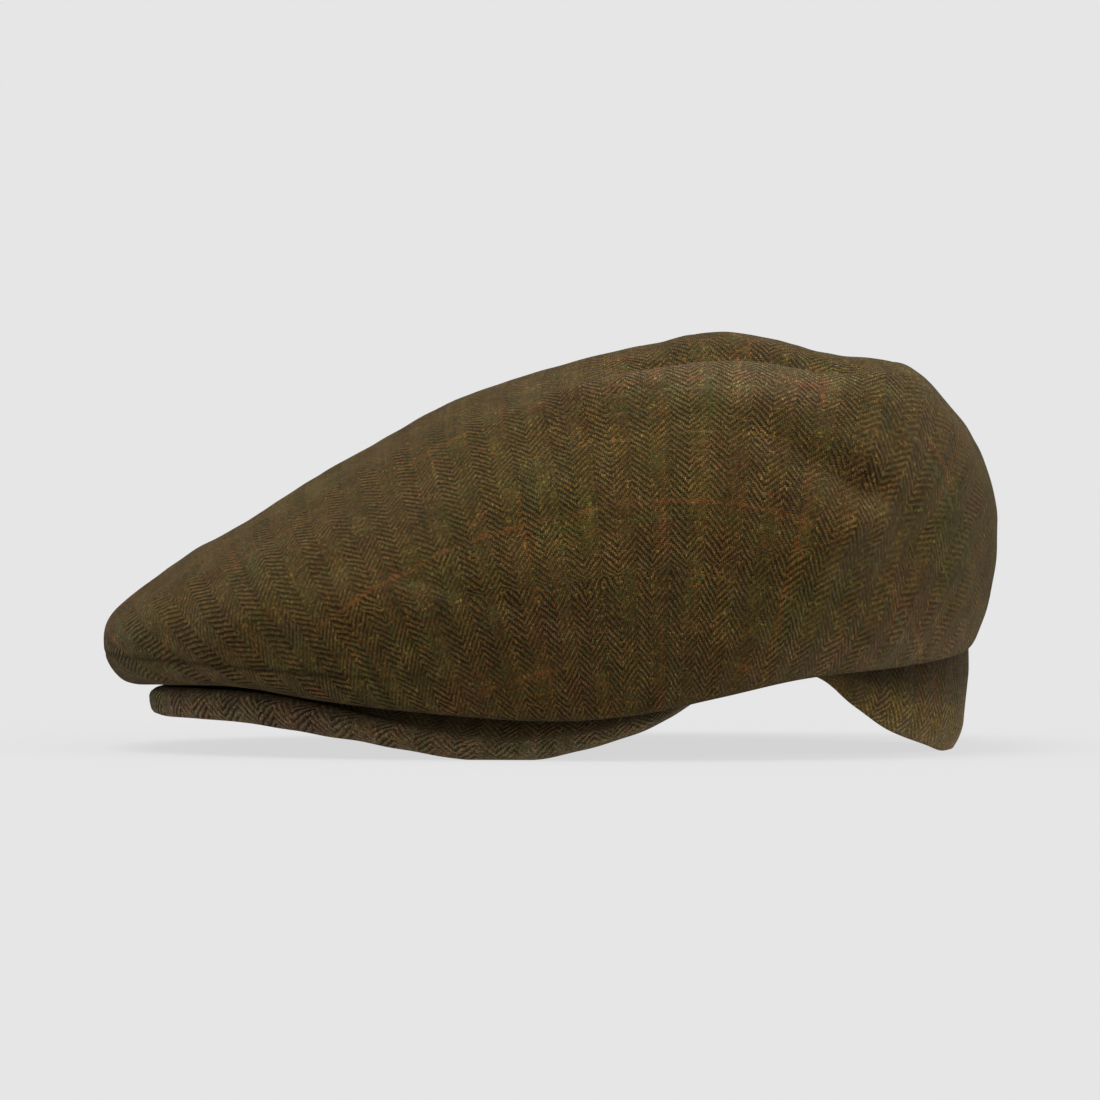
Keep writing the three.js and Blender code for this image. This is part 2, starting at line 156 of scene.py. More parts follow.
PEAK_SECTIONS = {
    "turn": (0, 15, 27, 38, 50, 59, 67, 78, 88, 96, 104),
    "low": (1.02, 1, 0.93, 0.63, 0.26, 0.03, 0, 0.27, 0.68, 1.16, 1.72),
    "root": (1, 1, 0.99, 0.97, 0.94, 0.92, 0.91, 0.91, 0.93, 0.97, 1.05),
    "reach": (1, 1, 1, 1, 1, 1, 1, 0.95, 0.85, 0.65, 0.35),
    "swell": (0.7, 1, 1, 0.85, 0.6, 0.55, 0.55, 0.4, 0.2, 0, 0),
}

BAND_SECTIONS = {
    "turn": (104, 115, 125, 130, 138, 147, 160, 168, 180),
    "hem": (0.92, 1.02, 1.09, 0.98, 0.63, 0.32, 0.08, 0, 0),
}

# The cloth's unevenness, each row the height of a sum of waves, its seed, its longest and shortest
# wave and how many there are.
CROWN_WAVES = (
    # height, seed, longest, shortest, count
    (0.0003, 3, 0.07, 0.028, 22),
    (0.00008, 8, 0.016, 0.008, 26),
)
PEAK_WAVES = ((0.00012, 5, 0.05, 0.012, 20),)
BAND_WAVES = ((0.00012, 6, 0.05, 0.012, 20),)

# Painted light and shade: how much of each kind there is, above 0 where painted light makes the cloth
# paler and below 0 where painted shade darkens it, and the ranges where each kind comes in or goes out.
# Rim: a painted highlight on the top's ridge; up: painted light on faces turned up; low: painted light
# low on the roll in front and behind; groove: painted shade in the stitched groove; under: painted shade
# on faces turned down.
CROWN_PAINTED_LIGHT = {"rim": 0.85, "up": 0.12, "low": 0.42, "groove": -0.8, "under": -0.6}
CROWN_PAINTED_LIGHT_RANGES = {
    "rim height": (0.106, 0.115),
    "rim across": (0.04, 0.058),
    "rim start": (-0.005, 0.035),
    "rim end": (0.07, 0.1),
    "facing up": (0.75, 1),
    "facing down": (0.5, 0.95),
    "front": (-0.11, -0.075),
    "back": (0.055, 0.085),
    "down the roll": (0.3, 0.6),
}
# The peak: painted light at its edge and painted shade towards its root, under the crown.
PEAK_PAINTED_LIGHT = {"edge": 0.5, "root": -0.6}
PEAK_PAINTED_LIGHT_RANGES = {"edge": (0.9, 1), "root": (0.6, 0.9)}
# The band: painted light at its hem near the floor, and painted shade high under the crown's roll and
# towards the peak's corners.
BAND_PAINTED_LIGHT = {"hem": 0.35, "high": -0.95, "corner": -0.9}
BAND_PAINTED_LIGHT_RANGES = {"hem": (0.7, 1), "high": (0.35, 0.75), "corner turn": (118, 152)}

# The tweed: a yarn's width, the yarns in a column of the herringbone, the colours of the yarns, what
# the colour is multiplied by where painted light makes it paler, and how much shows of the overcheck,
# the flecks and the painted light and shade. The band has lighter colours, painted light, and the peak
# paler ones.
TWEED = {
    "Yarn": 0.0005,
    "Column": 11.0,
    "Dark": (0.0175, 0.01, 0.003, 1),
    "Light": (0.112, 0.069, 0.021, 1),
    "Heather": (0.05, 0.0315, 0.0075, 1),
    "Rust": (0.2, 0.05, 0.015, 1),
    "Green": (0.04, 0.09, 0.03, 1),
    "Ochre": (0.25, 0.16, 0.03, 1),
    "Painted Light Tint": (1.65, 1.75, 2.6, 1),
    "Overcheck": 0.42,
    "Flecks": 0.4,
    "Painted Light": 0.0,
}
# The band's colours are a lighter copy of the tweed's: painted light on the band.
BAND_PAINTED_LIGHT_TWEED = {
    "Dark": (0.026, 0.0155, 0.005, 1),
    "Light": (0.195, 0.122, 0.042, 1),
    "Heather": (0.083, 0.052, 0.015, 1),
}
PEAK_TWEED = {
    "Light": (0.135, 0.09, 0.036, 1),
    "Heather": (0.062, 0.042, 0.0145, 1),
}
# What the colour is multiplied by where painted shade darkens it.
PAINTED_SHADE_TINT = (0.35, 0.33, 0.3, 1)
MIDDLE_GREY = (0.5, 0.5, 0.5, 1)

# The overcheck and the flecks: each colour's first yarn in a repeat, how many lie side by side, how
# much of them shows, and where the random values of its flecks begin.
COLOURED_YARNS = (
    # colour, first, wide, shown, flecks_from
    ("Rust", 0, 3, 1.0, 0.0),
    ("Green", 9, 2, 0.7, 0.03),
    ("Ochre", 41, 2, 0.6, 0.06),
)
OVERCHECK_REPEAT = 84
FLECK_HALF_RANGE = 0.012
FLECKS_A_YARN = 0.3
FLECK_SHIFT = 9.0
END_SEED = 5.0
PICK_SEED = 29.0
TWILL_REPEAT = 4.0
TWILL_UP = 2.0
SLUB_DRAW = 0.22
PICK_SHARE = 0.5

# The noises over the cloth, by their scale, detail and roughness, and how far two of them shake the
# yarns out of line.
NOISES = {
    "fibres": (2600, 3, 0.7),
    "patches": (38, 3, 0.5),
    "mottle": (170, 2, 0.5),
    "cloudy": (110, 3, 0.65),
    "broken": (55, 1, 0.5),
    "fulled": (75, 2, 0.5),
    "slow shake": (60, 1, 0.5),
    "quick shake": (420, 1, 0.5),
    "slub": (1.0, 2, 0.6),
}
SHAKES = {"slow shake": 0.0014, "quick shake": 0.0009}

# How each value becomes a share or a shade: what it is multiplied by, and what is then added.
SLOPES = {
    "slub": (2.2, -0.85),
    "broken": (4.0, -1.6),
    "fulled": (3.2, -0.9),
    "relief": (0.3, 0.62),
    "fibres": (1.5, 0.25),
    "jitter": (0.7, 0.65),
    "cloudy": (1.3, 0.35),
    "roughness": (0.15, 0.8),
}
LEAST_CLEAR = 0.3
MOTTLE_SHARE = 0.4
TINT_SHARE = 0.26
TINT_CONTRAST = 0.6
FIBRE_RELIEF = 1.1
WEAVE_RELIEF = 0.6
RELIEF_DISTANCE = 0.0003
CLOTH_SURFACE = {
    "Specular IOR Level": 0.03,
    "Sheen Weight": 0.14,
    "Sheen Tint": (0.8, 0.7, 0.52, 1),
    "Sheen Roughness": 0.35,
}

# The sky's brightness by the rise of its direction, the floor's own shade and half its side, and
# each light's way, strength and spread in degrees.
SKY_SHADE = 0.791
SKY_RAMP = ((0.12, SKY_SHADE), (0.25, 0.42), (0.6, 0.5), (0.85, 1.0))
SKY_STEPS = 4000
FLOOR_SHADE = 0.08
FLOOR_HALF = 40.0
LIGHTS = {
    "above": ((0.2, -0.22, 1), 2.6, 35),
    "behind": ((0.42, 0.9, 0.48), 1.3, 40),
}

# The camera: what it looks at, its distance, its rise in degrees, and its lens and sensor in
# millimetres.
VIEW_MIDDLE = (0, -0.0003, 0.062)
VIEW_DISTANCE = 2.4
VIEW_RISE = 1
VIEW_END = 100
LENS = 250.5
SENSOR = 36

MIDDLE_Y = (CROWN_FRONT - CROWN_BACK) / 2
CROWN_LENGTH = CROWN_FRONT + CROWN_BACK


def curve(table, column, place):
    """The smooth curve through one column of a table over its first column, level at both ends:
    cubic pieces whose slope at each row is the mean of the slopes to the rows beside it."""
    places = np.array(next(iter(table.values())), float)
    values = np.array(table[column], float)
    chords = np.diff(values) / np.diff(places)
    slopes = np.concatenate([[0], (chords[1:] + chords[:-1]) / 2, [0]])
    place = np.clip(place, places[0], places[-1])
    row = np.clip(np.searchsorted(places, place, side="right") - 1, 0, len(places) - 2)
    step = places[row + 1] - places[row]
    t = (place - places[row]) / step
    near = (1 + 2 * t) * (1 - t) ** 2 * values[row] + t * (1 - t) ** 2 * step * slopes[row]
    return near + t**2 * (3 - 2 * t) * values[row + 1] - t**2 * (1 - t) * step * slopes[row + 1]


def smoothstep(x, low, high):
    """0 below low, 1 above high, and between them 3 t squared minus 2 t cubed."""
    t = np.clip((x - low) / (high - low), 0, 1)
    return t * t * (3 - 2 * t)


def mix(a, b, share):
    """From a to b by a share."""
    return a + (b - a) * share


def at(turn, radius, height):
    """Points from turns, radii and heights."""
    angle = np.radians(turn)
    parts = (radius * np.sin(angle), MIDDLE_Y - radius * np.cos(angle), height)
    return np.stack(np.broadcast_arrays(*parts), axis=-1)


def from_front(points):
    """How far points lie behind the crown's foremost point."""
    return points[..., 1] - MIDDLE_Y + CROWN_FRONT


def outline_radius(turn, side, front, back, front_power, back_power):
    """The radius of a rounded plan outline: to its power, the shares of its reach sum to 1."""
    sideways, forward = np.sin(np.radians(turn)), np.cos(np.radians(turn))
    reach = np.where(forward > 0, front, back)
    power = np.where(forward > 0, front_power, back_power)
    return (np.abs(sideways / side) ** power + np.abs(forward / reach) ** power) ** (-1 / power)


def head_radius(turn):
    """The head opening, an ellipse."""
    return outline_radius(turn, HEAD_WIDTH / 2, HEAD_LENGTH / 2, HEAD_LENGTH / 2, 2, 2)


def crown_radius(turn):
    """The crown's plan outline where it swells most."""
    return outline_radius(
        turn, CROWN_WIDTH / 2, CROWN_FRONT, CROWN_BACK, CROWN_FRONT_POWER, CROWN_BACK_POWER)


def peak_line(turn):
    """The middle line of the peak's section: the radius and height of its edge and of its root."""
    half = PEAK_THICKNESS / 2
    inner = head_radius(turn) + half
    outline = outline_radius(turn, PEAK_WIDTH / 2, PEAK_FRONT, HEAD_LENGTH / 2, PEAK_POWER, 2)
    edge = mix(inner, outline - half, curve(PEAK_SECTIONS, "reach", turn))
    low = np.maximum(0, curve(PEAK_SECTIONS, "low", turn)) * PEAK_LIFT + half
    return edge, low, inner, curve(PEAK_SECTIONS, "root", turn) * PEAK_ROOT_HEIGHT


def band_face(turn, height):
    """The band's outer face: a wall out from the head opening, and leaning out with its height."""
    return head_radius(turn) + BAND_WALL + BAND_LEAN * np.minimum(1, height / PEAK_ROOT_HEIGHT)


def lip_height(turn):
    """The height of the crown's lowest line, where it turns in."""
    return curve(CROWN_SECTIONS, "lip", turn) * CROWN_TOP


def carrier_radius(turn, height):
    """How far out the crown's turned-up edge lies: a gap off the peak's upper face in front, and a
    gap off the band's face behind, changing smoothly past the peak's corner."""
    peak_turn = np.minimum(turn, PEAK_CORNER_TURN)
    edge, low, inner, root = peak_line(peak_turn)
    length = np.hypot(inner - edge, root - low)
    rise = (root - low) / length
    ease = CORNER_EASE * (1 - smoothstep(np.abs(turn - PEAK_CORNER_TURN), 0, CORNER_EASE_TURN))
    clearance = (PEAK_THICKNESS / 2 + PEAK_SEAM_GAP + ease) / rise
    face = edge + (inner - edge) * (height - low) / (root - low) + clearance
    on_peak = face + head_radius(turn) - head_radius(peak_turn)
    on_band = band_face(turn, height) + SEAM_GAP
    change = smoothstep(turn, PEAK_CORNER_TURN, PEAK_CORNER_TURN + CORNER_EASE_TURN)
    near_band = turn > PEAK_CORNER_TURN - CORNER_EASE_TURN
    return np.maximum(mix(on_peak, on_band, change), np.where(near_band, on_band + ease, 0))


def crown_top(share, turn, inset):
    """The crown's top, from the pole at share 0 to where it swells most at share 1: a ceiling along
    and across the cap, that falls to the widest height near the rim by a power of the spread."""
    spread = np.sin(share * np.pi / 2)
    radius = spread * (crown_radius(turn) - inset)
    flat = at(turn, radius, 0 * radius)
    along = from_front(flat) / CROWN_LENGTH
    across = flat[..., 0] / (CROWN_WIDTH / 2)
    fall = curve(CROWN_CEILING, "fall", along) * across**2
    ceiling = (curve(CROWN_CEILING, "height", along) - fall) * CROWN_TOP
    widest = curve(CROWN_SECTIONS, "widest", turn) * CROWN_TOP
    near_rim = np.maximum(0, 1 - spread ** curve(CROWN_SECTIONS, "shoulder", turn))
    edge = near_rim ** curve(CROWN_SECTIONS, "slump", turn)
    return radius, widest + (ceiling - inset - widest) * edge


def lip_point(turn, inset):
    """The radius and height of the crown's lip: a share of its outline, and clear of what it turns
    up against."""
    height = lip_height(turn)
    tight = carrier_radius(turn, height) + CROWN_WALL + inset / 2
    radius = curve(CROWN_SECTIONS, "lip_in", turn) * crown_radius(turn)
    return np.maximum(radius, tight), height + inset


def crown_roll(share, turn, inset):
    """The crown's roll, from where it swells most down to its lip: a quarter of an ellipse whose
    cosine is raised to the slack, which draws it in."""
    angle = share * np.pi / 2
    widest = curve(CROWN_SECTIONS, "widest", turn) * CROWN_TOP
    radius, height = lip_point(turn, inset)
    reach = crown_radius(turn) - inset - radius
    out = np.maximum(0, np.cos(angle)) ** curve(CROWN_SECTIONS, "slack", turn)
    return radius + reach * out, widest - (widest - height) * np.sin(angle)


def crown_under(share, turn, inset):
    """The crown's underside, a parabola from its lip in to what carries it, and up along that."""
    lip, height = lip_point(turn, inset)
    lean = carrier_radius(turn, height + CROWN_TURN_UP) - carrier_radius(turn, height)
    length = np.hypot(lean, CROWN_TURN_UP)
    corner = carrier_radius(turn, height) + inset * length / CROWN_TURN_UP
    climb = CROWN_TURN_UP * (CROWN_TURN_UP / length)
    end = corner + lean / length * climb
    first, middle, last = (1 - share) ** 2, 2 * share * (1 - share), share**2
    radius = first * lip + middle * corner + last * end
    return radius, first * height + middle * height + last * (height + climb * CROWN_TURN_UP / length)


def crown_rows(rounds, inset):
    """The crown's face as rows of points from its pole to its edge, one point for each turn."""
    turn = np.abs(rounds)[None, :]
    shares = [np.linspace(POLE_SHARE, 1, TOP_ROWS), np.linspace(0, 1, ROLL_ROWS + 1)[1:],
              np.linspace(0, 1, UNDER_ROWS + 1)[1:]]
    rows = [surface(share[:, None], turn, inset)
            for surface, share in zip((crown_top, crown_roll, crown_under), shares)]
    radius, height = (np.concatenate([row[part] for row in rows]) for part in (0, 1))
    return at(rounds[None, :], radius, height)


def ring_normals(points):
    """Unit normals of a grid of rows that close on themselves, facing away from the first row."""
    around = np.roll(points, -1, axis=1) - np.roll(points, 1, axis=1)
    normals = np.cross(np.gradient(points, axis=0), around)
    return normals / np.linalg.norm(normals, axis=-1, keepdims=True)


def waves(points, seed, longest, shortest, count):
    """Unevenness without a repeat: the mean of sine waves of seeded directions and phases."""
    rng = np.random.default_rng(seed)
    direction = rng.normal(size=(count, 3))
    direction /= np.linalg.norm(direction, axis=1, keepdims=True)
    lengths = np.exp(rng.uniform(np.log(shortest), np.log(longest), count))
    phases = rng.uniform(0, 2 * np.pi, count)
    total = np.zeros(points.shape[:-1])
    for way, length, phase in zip(direction, lengths, phases):
        total += np.sin(points @ way * (2 * np.pi / length) + phase)
    return total / np.sqrt(count / 2)


def uneven(points, table):
    """The sum of a table's waves, each row's times its height."""
    return sum(height * waves(points, *row) for height, *row in table)


def fold_height(points):
    """How far the cloth stands out of its smooth shape: each fold is a bell along its length and a
    sharper bell across it, on its own side of the cap."""
    along = from_front(points) / CROWN_LENGTH
    total = np.zeros(points.shape[:-1])
    for side, where, height, rake, half_long, half_wide, depth, crisp in CROWN_FOLDS:
        tilt = np.radians(rake)
        back = along - where
        up = (points[..., 2] - height * CROWN_TOP) / CROWN_LENGTH
        lengthways = (back * np.cos(tilt) + up * np.sin(tilt)) / half_long
        across = (up * np.cos(tilt) - back * np.sin(tilt)) / half_wide
        shown = smoothstep(side * points[..., 0] / (CROWN_WIDTH / 2), *FOLD_SIDE_RANGE)
        total += depth * shown * np.exp(-(lengthways**2) - np.abs(across) ** crisp)
    return total * FOLD_DEPTH


def stitch_line(points):
    """How far points lie above the stitched line round the crown's front, in half widths of its
    groove, and how much of it shows. It is straight in the side view and fades towards the ear."""
    line = STITCH_FRONT_HEIGHT + STITCH_SLOPE * from_front(points)
    shown = 1 - smoothstep(points[..., 1], *STITCH_END_RANGE)
    return (points[..., 2] - line) / STITCH_HALF_WIDTH, shown


def seam_groove(points):
    """The stitched line's groove: a narrow bell cut into a wider one, the cloth puffed beside it."""
    off, shown = stitch_line(points)
    puff = STITCH_PUFF * np.exp(-((off / STITCH_PUFF_WIDTH) ** 2))
    return STITCH_DEPTH * shown * (puff - STITCH_CUT * np.exp(-(off**2)))


def top_relief(points):
    """The shapes along the top's left side, as the photo shows them: each a bell across the cap
    times smooth ends along it, and only high on the crown."""
    x, y, z = np.moveaxis(points, -1, 0)
    total = np.zeros(x.shape)
    for height, across, half_wide, start, full, fading, end in TOP_SHAPES:
        shown = smoothstep(y, start, full) * (1 - smoothstep(y, fading, end))
        total += height * shown * np.exp(-(((x - across) / half_wide) ** 2))
    return smoothstep(z, *TOP_SHAPES_RANGE) * total


def wrap_faces(rows, columns):
    """The four-cornered faces between rows of points that close on themselves."""
    row, column = np.meshgrid(np.arange(rows - 1), np.arange(columns), indexing="ij")
    beside = (column + 1) % columns
    corners = (row * columns + column, (row + 1) * columns + column,
               (row + 1) * columns + beside, row * columns + beside)
    return np.stack(corners, axis=-1).reshape(-1, 4)


def fan(ring, middle):
    """Three-cornered faces from each side of a ring of corner numbers to a middle point."""
    return np.stack([np.full(len(ring), middle), ring, np.roll(ring, -1)], axis=-1)


def piece(name, points, faces, cloth, painted_light, material):
    """A mesh of points and faces, with each point's place in the flat cloth as its UV and its painted
    light and shade as an attribute: above 0 where painted light makes it paler, below 0 where painted
    shade darkens it."""
    mesh = bpy.data.meshes.new(name)
    corners = np.concatenate([face.ravel() for face in faces])
    sizes = np.concatenate([np.full(len(face), face.shape[1]) for face in faces])
    mesh.vertices.add(len(points))
    mesh.vertices.foreach_set("co", np.asarray(points, np.float32).ravel())
    mesh.loops.add(len(corners))
    mesh.loops.foreach_set("vertex_index", corners.astype(np.int32))
    mesh.polygons.add(len(sizes))
    mesh.polygons.foreach_set("loop_start", (np.cumsum(sizes) - sizes).astype(np.int32))
    mesh.polygons.foreach_set("use_smooth", np.ones(len(sizes), bool))
    mesh.uv_layers.new(name="cloth").data.foreach_set("uv", cloth[corners].astype(np.float32).ravel())
    mesh.attributes.new("painted_light", "FLOAT", "POINT").data.foreach_set("value", painted_light.astype(np.float32))
    mesh.update(calc_edges=True)
    mesh.materials.append(material)
    thing = bpy.data.objects.new(name, mesh)
    bpy.context.collection.objects.link(thing)
    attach(thing, "root")
    return thing


def flatten(points, cloth):
    """Lays a skin of closed rows out flat with as little stretch as can be. By turns, each cell's
    own flat shape is turned to fit the places it has, and the places that best keep the sides of
    all the cells so turned are found, as the least squares of one weighted set of equations."""
    rows, columns = points.shape[:2]
    node = np.arange(rows * columns).reshape(rows, columns)
    beside = np.roll(node, -1, axis=1)
    cell = (node[:-1], node[1:], beside[:-1], beside[1:])
    sides = ((cell[0], cell[1]), (cell[2], cell[3]), (cell[0], cell[2]), (cell[1], cell[3]))
    flat = points.reshape(-1, 3)
    edges = [flat[to] - flat[start] for start, to in sides]
    down, over = edges[0] + edges[1], edges[2] + edges[3]
    first = down / np.linalg.norm(down, axis=-1, keepdims=True)
    second = over - (over * first).sum(axis=-1, keepdims=True) * first
    second /= np.linalg.norm(second, axis=-1, keepdims=True)
    shapes = [(edge * first).sum(axis=-1) + 1j * (edge * second).sum(axis=-1) for edge in edges]
    ratio = np.linalg.norm(over, axis=-1) / np.linalg.norm(down, axis=-1)
    weights = [ratio, ratio, 1 / ratio, 1 / ratio]
    matrix = np.zeros((node.size, node.size))
    for (start, to), weight in zip(sides, weights):
        for a, b in ((start, to), (to, start)):
            np.add.at(matrix, (a, a), weight)
            np.add.at(matrix, (a, b), -weight)
    matrix[0, 0] += 1
    solver = np.linalg.inv(matrix)
    places = (cloth[..., 0] + 1j * cloth[..., 1]).reshape(-1)
    for _ in range(FLAT_ROUNDS):
        fit = sum(weight * (places[to] - places[start]) * np.conj(shape)
                  for (start, to), weight, shape in zip(sides, weights, shapes))
        turned = fit / np.abs(fit)
        wanted = np.zeros(node.size, complex)
        for (start, to), weight, shape in zip(sides, weights, shapes):
            np.add.at(wanted, to, weight * turned * shape)
            np.add.at(wanted, start, -weight * turned * shape)
        places = solver @ wanted
    return np.stack([places.real, places.imag], axis=-1).reshape(rows, columns, 2)


def resample(grid, wanted, closed):
    """A grid's rows between its rows, at wanted places counted in rows. A closed grid goes round."""
    low = np.floor(wanted).astype(int)
    share = (wanted - low)[:, None, None]
    high = (low + 1) % len(grid) if closed else np.minimum(low + 1, len(grid) - 1)
    return mix(grid[low], grid[high], share)


def crown_cloth(points):
    """The crown's flat cloth: rows laid out round the pole by their length from it, then flattened
    on some of the rows and columns, and filled in between."""
    steps = np.linalg.norm(np.diff(points, axis=0), axis=-1)
    reach = np.concatenate([np.zeros((1, points.shape[1])), np.cumsum(steps, axis=0)])
    middle = points[0].mean(axis=0)
    spokes = np.arctan2(points[0, :, 0] - middle[0], middle[1] - points[0, :, 1])
    reach = reach + np.linalg.norm(points[0] - middle, axis=-1)
    cloth = reach[..., None] * np.stack([np.sin(spokes), -np.cos(spokes)], axis=-1)
    length = reach.mean(axis=1)
    rows = np.unique(np.searchsorted(length, np.linspace(length[0], length[-1], FLAT_ROWS)))
    coarse = flatten(points[rows, ::FLAT_STEP], cloth[rows, ::FLAT_STEP])
    around = resample(coarse.swapaxes(0, 1), np.arange(AROUND) / FLAT_STEP, True).swapaxes(0, 1)
    return resample(around, np.interp(np.arange(len(points)), rows, np.arange(len(rows))), False)


def crown_painted_light(points, normals, share):
    """Where painted light makes the crown's cloth paler, a painted highlight on the ridge at the rim of
    its top, low on its roll in front and behind and wherever it faces up, and where painted shade darkens
    it, in the stitched groove and underneath. The share is how far down the roll a row lies."""
    x, y, z = np.moveaxis(points, -1, 0)
    ranges = CROWN_PAINTED_LIGHT_RANGES
    rim = smoothstep(z, *ranges["rim height"]) * smoothstep(x, *ranges["rim across"])
    rim = rim * smoothstep(y, *ranges["rim start"]) * (1 - smoothstep(y, *ranges["rim end"]))
    up = smoothstep(normals[..., 2], *ranges["facing up"])
    under = smoothstep(-normals[..., 2], *ranges["facing down"])
    off, shown = stitch_line(points)
    ends = smoothstep(y, *ranges["back"]) + 1 - smoothstep(y, *ranges["front"])
    kinds = {
        "rim": rim,
        "up": up * (1 - rim),
        "low": smoothstep(share, *ranges["down the roll"]) * ends,
        "groove": np.exp(-(off**2)) * shown,
        "under": under,
    }
    return sum(CROWN_PAINTED_LIGHT[kind] * amount for kind, amount in kinds.items())


def peak_painted_light(share):
    """The peak's painted light and shade, by the share of the way to its edge: painted light at the edge,
    and painted shade towards its root, under the crown."""
    edge = smoothstep(share, *PEAK_PAINTED_LIGHT_RANGES["edge"])
    root = 1 - smoothstep(share, *PEAK_PAINTED_LIGHT_RANGES["root"])
    return PEAK_PAINTED_LIGHT["edge"] * edge + PEAK_PAINTED_LIGHT["root"] * root


def band_painted_light(share, turn):
    """The side band's painted light and shade, by the share of the way to its hem: painted shade high
    under the crown's roll and towards the peak's corners, and painted light at its hem, near the floor."""
    hem = smoothstep(share, *BAND_PAINTED_LIGHT_RANGES["hem"])
    high = 1 - smoothstep(share, *BAND_PAINTED_LIGHT_RANGES["high"])
    corner = 1 - smoothstep(turn, *BAND_PAINTED_LIGHT_RANGES["corner turn"])
    return BAND_PAINTED_LIGHT["hem"] * hem + BAND_PAINTED_LIGHT["high"] * high + BAND_PAINTED_LIGHT["corner"] * corner


def make_crown(material):
    """The crown: its outer face from the pole down the roll and up inside it, and an inner face a
    wall's thickness in, joined along the edge and closed at both poles."""
    rounds = ((np.arange(AROUND) + 0.5) / AROUND - 0.5) * 360
    outer = crown_rows(rounds, 0)
    inner = crown_rows(rounds, CROWN_WALL)
    normals = ring_normals(outer)
    share = np.concatenate([np.zeros(TOP_ROWS), np.linspace(0, 1, ROLL_ROWS), np.ones(UNDER_ROWS)])
    free = 1 - smoothstep(share, *FREE_CLOTH_RANGE)
    painted_light = crown_painted_light(outer, normals, share[:, None])
    relief = fold_height(outer) + top_relief(outer) + uneven(outer, CROWN_WAVES)
    moved = relief * free[:, None] + seam_groove(outer)
    shift = normals * moved[..., None]
    cloth = crown_cloth(outer)
    outer, inner = outer + shift, inner + shift
    kept = np.unique(np.concatenate([
        np.arange(0, TOP_ROWS, INNER_TOP_STEP),
        np.arange(TOP_ROWS, len(outer), INNER_ROLL_STEP),
        [len(outer) - 1]]))[::-1]
    points = np.concatenate([outer, inner[kept]]).reshape(-1, 3)
    places = np.concatenate([cloth, cloth[kept]]).reshape(-1, 2)
    rows = len(outer) + len(kept)
    first, last = rows * AROUND, rows * AROUND + 1
    points = np.concatenate([points, outer[:1].mean(axis=1), inner[:1].mean(axis=1)])
    places = np.concatenate([places, cloth[:1].mean(axis=1), cloth[:1].mean(axis=1)])
    painted_light = np.concatenate([painted_light.ravel(), 0 * painted_light[kept].ravel(), [painted_light[0].mean(), 0]])
    faces = [wrap_faces(rows, AROUND), fan(np.arange(AROUND), first),
             fan(np.arange(AROUND)[::-1] + (rows - 1) * AROUND, last)]
    return piece("crown_cloth", points, faces, places, painted_light, material)


def padded_ring(radius, height, half):
    """The outline of a thick section: its middle line pushed out by half its thickness on one side,
    round its far end by a squared half circle, back on the other side and round its near end."""
    along = np.stack([np.gradient(radius, axis=0), np.gradient(height, axis=0)])
    along /= np.linalg.norm(along, axis=0)
    line = np.stack([radius, height])
    out = np.stack([along[1], -along[0]])
    angles = np.radians(np.linspace(0, 180, EDGE_POINTS + 2)[1:-1])[:, None]
    away, ahead = np.cos(angles), np.sin(angles) ** EDGE_SQUARENESS
    away = np.sign(away) * np.abs(away) ** EDGE_SQUARENESS
    half = np.broadcast_to(half, radius.shape)
    far = line[:, -1:] + half[-1:] * (out[:, -1:] * away + along[:, -1:] * ahead)
    near = line[:, :1] - half[:1] * (out[:, :1] * away + along[:, :1] * ahead)
    return np.concatenate([line + half * out, far, (line - half * out)[:, ::-1], near], axis=1)


def make_swept(name, rounds, radius, height, half, painted_light, table, material):
    """A cloth piece swept round the head: a thick section at each turn, closed at both ends, with
    its cloth laid out by length round the section and by length along the sweep. The painted light and
    shade is given at the places of the section's middle line, and the table holds the cloth's unevenness."""
    ring = padded_ring(radius, height, half)
    points = at(rounds[None, :], ring[0], ring[1])
    around = np.roll(points, -1, axis=0) - np.roll(points, 1, axis=0)
    normals = np.cross(np.gradient(points, axis=1), around)
    normals /= np.linalg.norm(normals, axis=-1, keepdims=True)
    points = points + normals * uneven(points, table)[..., None]
    points[..., 2] = np.maximum(0, points[..., 2])
    lengths = np.linalg.norm(np.roll(points, -1, axis=0) - points, axis=-1).mean(axis=1)
    across = np.cumsum(lengths) - lengths
    along = np.linalg.norm(np.diff(points, axis=1), axis=-1).mean(axis=0)
    along = np.concatenate([[0], np.cumsum(along)])
    cloth = np.stack(np.broadcast_arrays(across[:, None], along[None, :]), axis=-1)
    rows, columns = points.shape[:2]
    far, near = (np.repeat(row, EDGE_POINTS, axis=0) for row in (painted_light[-1:], painted_light[:1]))
    wear_and_painted_light = np.concatenate([painted_light, far, painted_light[::-1], near]).T
    skin, places = points.transpose(1, 0, 2), cloth.transpose(1, 0, 2)
    points = np.concatenate([skin.reshape(-1, 3), skin[:1].mean(axis=1), skin[-1:].mean(axis=1)])
    places = np.concatenate([
        places.reshape(-1, 2), places[:1].mean(axis=1), places[-1:].mean(axis=1)])
    faces = [wrap_faces(columns, rows), fan(np.arange(rows), rows * columns),
             fan(np.arange(rows)[::-1] + (columns - 1) * rows, rows * columns + 1)]
    return piece(name, points, faces, places, np.concatenate([wear_and_painted_light.ravel(), [0, 0]]), material)


